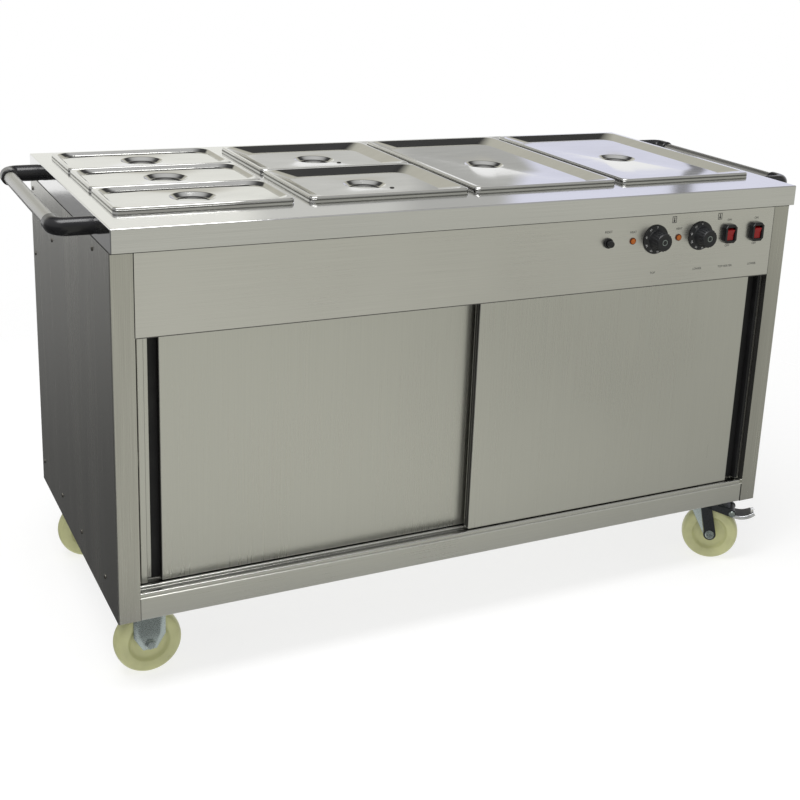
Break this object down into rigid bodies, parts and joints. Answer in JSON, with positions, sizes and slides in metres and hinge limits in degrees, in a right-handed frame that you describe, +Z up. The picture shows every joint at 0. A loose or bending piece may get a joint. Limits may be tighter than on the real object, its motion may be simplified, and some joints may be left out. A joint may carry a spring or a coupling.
{
  "type": "mobile hot cupboard",
  "caption": "Wheeled stainless steel hot cupboard with sliding doors below and a heated top of lidded food pans, pushed by a bar handle at each end.",
  "frame": {"origin": "on the floor, under the middle of the whole trolley", "axes": "+X along the length to the controls' end, -Y out of the doors and controls, +Z up"},
  "size_m": [1.59, 0.709, 0.879],
  "materials": {
    "brushed_stainless": "brushed stainless steel sheet",
    "polished_stainless": "polished stainless steel",
    "track_stainless": "folded stainless steel",
    "zinc_plated_steel": "bright zinc plating",
    "chrome_pedal": "chrome plating",
    "element_sheath": "heat-tinted steel sheath",
    "black_gloss_plastic": "moulded black plastic",
    "black_knob_plastic": "moulded black phenolic plastic",
    "red_rocker_plastic": "translucent red plastic",
    "amber_lens": "translucent amber plastic",
    "grey_plastic": "moulded grey plastic",
    "nylon_glide": "black nylon",
    "nylon_wheel": "cream nylon"
  },
  "bodies": {
    "cabinet": {"worktop": "brushed_stainless", "left_end_panel": "brushed_stainless", "right_end_panel": "brushed_stainless", "rear_panel": "brushed_stainless", "front_fascia": "brushed_stainless", "base_pan": "brushed_stainless", "base_cross_members": "track_stainless", "well_tank": "brushed_stainless", "pan_support_bars": "track_stainless", "well_heating_element": "element_sheath", "middle_shelf": "brushed_stainless", "shelf_brackets": "track_stainless", "bottom_door_track": "track_stainless", "top_door_track": "track_stainless", "cupboard_heating_element": "element_sheath", "element_guard": "track_stainless", "thermostat_bodies": "grey_plastic", "switch_housings": "black_gloss_plastic", "indicator_lamps": "amber_lens", "cutout_body": "black_gloss_plastic", "cable_gland": "black_gloss_plastic", "handle_tubes": "polished_stainless", "handle_elbows": "black_gloss_plastic", "panel_screws": "zinc_plated_steel", "fixed_caster_forks": "zinc_plated_steel", "swivel_caster_plates": "zinc_plated_steel", "caster_bolts": "zinc_plated_steel"},
    "left_door": {"left_door_skin": "brushed_stainless", "left_door_back": "brushed_stainless", "left_door_glides": "nylon_glide"},
    "right_door": {"right_door_skin": "brushed_stainless", "right_door_back": "brushed_stainless", "right_door_glides": "nylon_glide"},
    "left_knob": {"left_thermostat_knob": "black_knob_plastic"},
    "right_knob": {"right_thermostat_knob": "black_knob_plastic"},
    "left_switch": {"left_rocker": "red_rocker_plastic"},
    "right_switch": {"right_rocker": "red_rocker_plastic"},
    "reset": {"reset_button": "black_gloss_plastic"},
    "left_front_caster_wheel": {"left_front_wheel": "nylon_wheel"},
    "left_rear_caster_wheel": {"left_rear_wheel": "nylon_wheel"},
    "right_front_swivel": {"right_front_fork": "zinc_plated_steel"},
    "right_rear_swivel": {"right_rear_fork": "zinc_plated_steel"},
    "right_front_caster_wheel": {"right_front_wheel": "nylon_wheel"},
    "right_rear_caster_wheel": {"right_rear_wheel": "nylon_wheel"},
    "right_front_pedal": {"right_front_brake_pedal": "chrome_pedal"},
    "right_rear_pedal": {"right_rear_brake_pedal": "chrome_pedal"},
    "pan_first_third_front": {"first_third_front_pan": "polished_stainless"},
    "lid_first_third_front": {"first_third_front_lid": "polished_stainless"},
    "pan_first_third_middle": {"first_third_middle_pan": "polished_stainless"},
    "lid_first_third_middle": {"first_third_middle_lid": "polished_stainless"},
    "pan_first_third_back": {"first_third_back_pan": "polished_stainless"},
    "lid_first_third_back": {"first_third_back_lid": "polished_stainless"},
    "pan_second_half_front": {"second_half_front_pan": "polished_stainless"},
    "lid_second_half_front": {"second_half_front_lid": "polished_stainless"},
    "pan_second_half_back": {"second_half_back_pan": "polished_stainless"},
    "lid_second_half_back": {"second_half_back_lid": "polished_stainless"},
    "pan_third_full": {"third_full_pan": "polished_stainless"},
    "lid_third_full": {"third_full_lid": "polished_stainless"},
    "pan_fourth_full": {"fourth_full_pan": "polished_stainless"},
    "lid_fourth_full": {"fourth_full_lid": "polished_stainless"}
  },
  "joints": [
    {"name": "left_door_slide", "type": "slide", "parent": "cabinet", "child": "left_door", "axis": [1, 0, 0], "range_m": [-0.01, 0.645]},
    {"name": "right_door_slide", "type": "slide", "parent": "cabinet", "child": "right_door", "axis": [-1, 0, 0], "range_m": [0, 0.655]},
    {"name": "pan_lift_first_third_front", "type": "slide", "parent": "cabinet", "child": "pan_first_third_front", "axis": [0, 0, 1], "range_m": [0, 0.2]},
    {"name": "lid_lift_first_third_front", "type": "slide", "parent": "pan_first_third_front", "child": "lid_first_third_front", "axis": [0, 0, 1], "range_m": [0, 0.18]},
    {"name": "pan_lift_first_third_middle", "type": "slide", "parent": "cabinet", "child": "pan_first_third_middle", "axis": [0, 0, 1], "range_m": [0, 0.2]},
    {"name": "lid_lift_first_third_middle", "type": "slide", "parent": "pan_first_third_middle", "child": "lid_first_third_middle", "axis": [0, 0, 1], "range_m": [0, 0.18]},
    {"name": "pan_lift_first_third_back", "type": "slide", "parent": "cabinet", "child": "pan_first_third_back", "axis": [0, 0, 1], "range_m": [0, 0.2]},
    {"name": "lid_lift_first_third_back", "type": "slide", "parent": "pan_first_third_back", "child": "lid_first_third_back", "axis": [0, 0, 1], "range_m": [0, 0.18]},
    {"name": "pan_lift_second_half_front", "type": "slide", "parent": "cabinet", "child": "pan_second_half_front", "axis": [0, 0, 1], "range_m": [0, 0.2]},
    {"name": "lid_lift_second_half_front", "type": "slide", "parent": "pan_second_half_front", "child": "lid_second_half_front", "axis": [0, 0, 1], "range_m": [0, 0.18]},
    {"name": "pan_lift_second_half_back", "type": "slide", "parent": "cabinet", "child": "pan_second_half_back", "axis": [0, 0, 1], "range_m": [0, 0.2]},
    {"name": "lid_lift_second_half_back", "type": "slide", "parent": "pan_second_half_back", "child": "lid_second_half_back", "axis": [0, 0, 1], "range_m": [0, 0.18]},
    {"name": "pan_lift_third_full", "type": "slide", "parent": "cabinet", "child": "pan_third_full", "axis": [0, 0, 1], "range_m": [0, 0.2]},
    {"name": "lid_lift_third_full", "type": "slide", "parent": "pan_third_full", "child": "lid_third_full", "axis": [0, 0, 1], "range_m": [0, 0.18]},
    {"name": "pan_lift_fourth_full", "type": "slide", "parent": "cabinet", "child": "pan_fourth_full", "axis": [0, 0, 1], "range_m": [0, 0.2]},
    {"name": "lid_lift_fourth_full", "type": "slide", "parent": "pan_fourth_full", "child": "lid_fourth_full", "axis": [0, 0, 1], "range_m": [0, 0.18]},
    {"name": "left_knob_turn", "type": "hinge", "parent": "cabinet", "child": "left_knob", "pos_m": [0.3735, -0.3215, 0.775], "axis": [0, 1, 0], "range_deg": [0, 270]},
    {"name": "right_knob_turn", "type": "hinge", "parent": "cabinet", "child": "right_knob", "pos_m": [0.4855, -0.3215, 0.775], "axis": [0, 1, 0], "range_deg": [0, 270]},
    {"name": "left_switch_rock", "type": "hinge", "parent": "cabinet", "child": "left_switch", "pos_m": [0.5575, -0.3155, 0.775], "axis": [1, 0, 0], "range_deg": [-18, 0]},
    {"name": "right_switch_rock", "type": "hinge", "parent": "cabinet", "child": "right_switch", "pos_m": [0.6285, -0.3155, 0.775], "axis": [1, 0, 0], "range_deg": [-18, 0]},
    {"name": "reset_press", "type": "slide", "parent": "cabinet", "child": "reset", "axis": [0, 1, 0], "range_m": [0, 0.0035], "stiffness_N_per_m": 300},
    {"name": "left_front_wheel_spin", "type": "hinge", "parent": "cabinet", "child": "left_front_caster_wheel", "pos_m": [-0.644, -0.2385, 0.0625], "axis": [0, -1, 0], "continuous": true},
    {"name": "left_rear_wheel_spin", "type": "hinge", "parent": "cabinet", "child": "left_rear_caster_wheel", "pos_m": [-0.644, 0.2575, 0.0625], "axis": [0, -1, 0], "continuous": true},
    {"name": "right_front_swivel_turn", "type": "hinge", "parent": "cabinet", "child": "right_front_swivel", "pos_m": [0.615, -0.2555, 0.14], "axis": [0, 0, 1], "continuous": true},
    {"name": "right_front_wheel_spin", "type": "hinge", "parent": "right_front_swivel", "child": "right_front_caster_wheel", "pos_m": [0.63864, -0.27397, 0.0625], "axis": [-0.6157, -0.788, 0], "continuous": true},
    {"name": "right_front_brake_press", "type": "hinge", "parent": "right_front_swivel", "child": "right_front_pedal", "pos_m": [0.67331, -0.30106, 0.1195], "axis": [-0.6157, -0.788, 0], "range_deg": [-20, 0]},
    {"name": "right_rear_swivel_turn", "type": "hinge", "parent": "cabinet", "child": "right_rear_swivel", "pos_m": [0.615, 0.2745, 0.14], "axis": [0, 0, 1], "continuous": true},
    {"name": "right_rear_wheel_spin", "type": "hinge", "parent": "right_rear_swivel", "child": "right_rear_caster_wheel", "pos_m": [0.64398, 0.26673, 0.0625], "axis": [-0.2588, -0.9659, 0], "continuous": true},
    {"name": "right_rear_brake_press", "type": "hinge", "parent": "right_rear_swivel", "child": "right_rear_pedal", "pos_m": [0.68648, 0.25535, 0.1195], "axis": [-0.2588, -0.9659, 0], "range_deg": [-20, 0]}
  ]
}
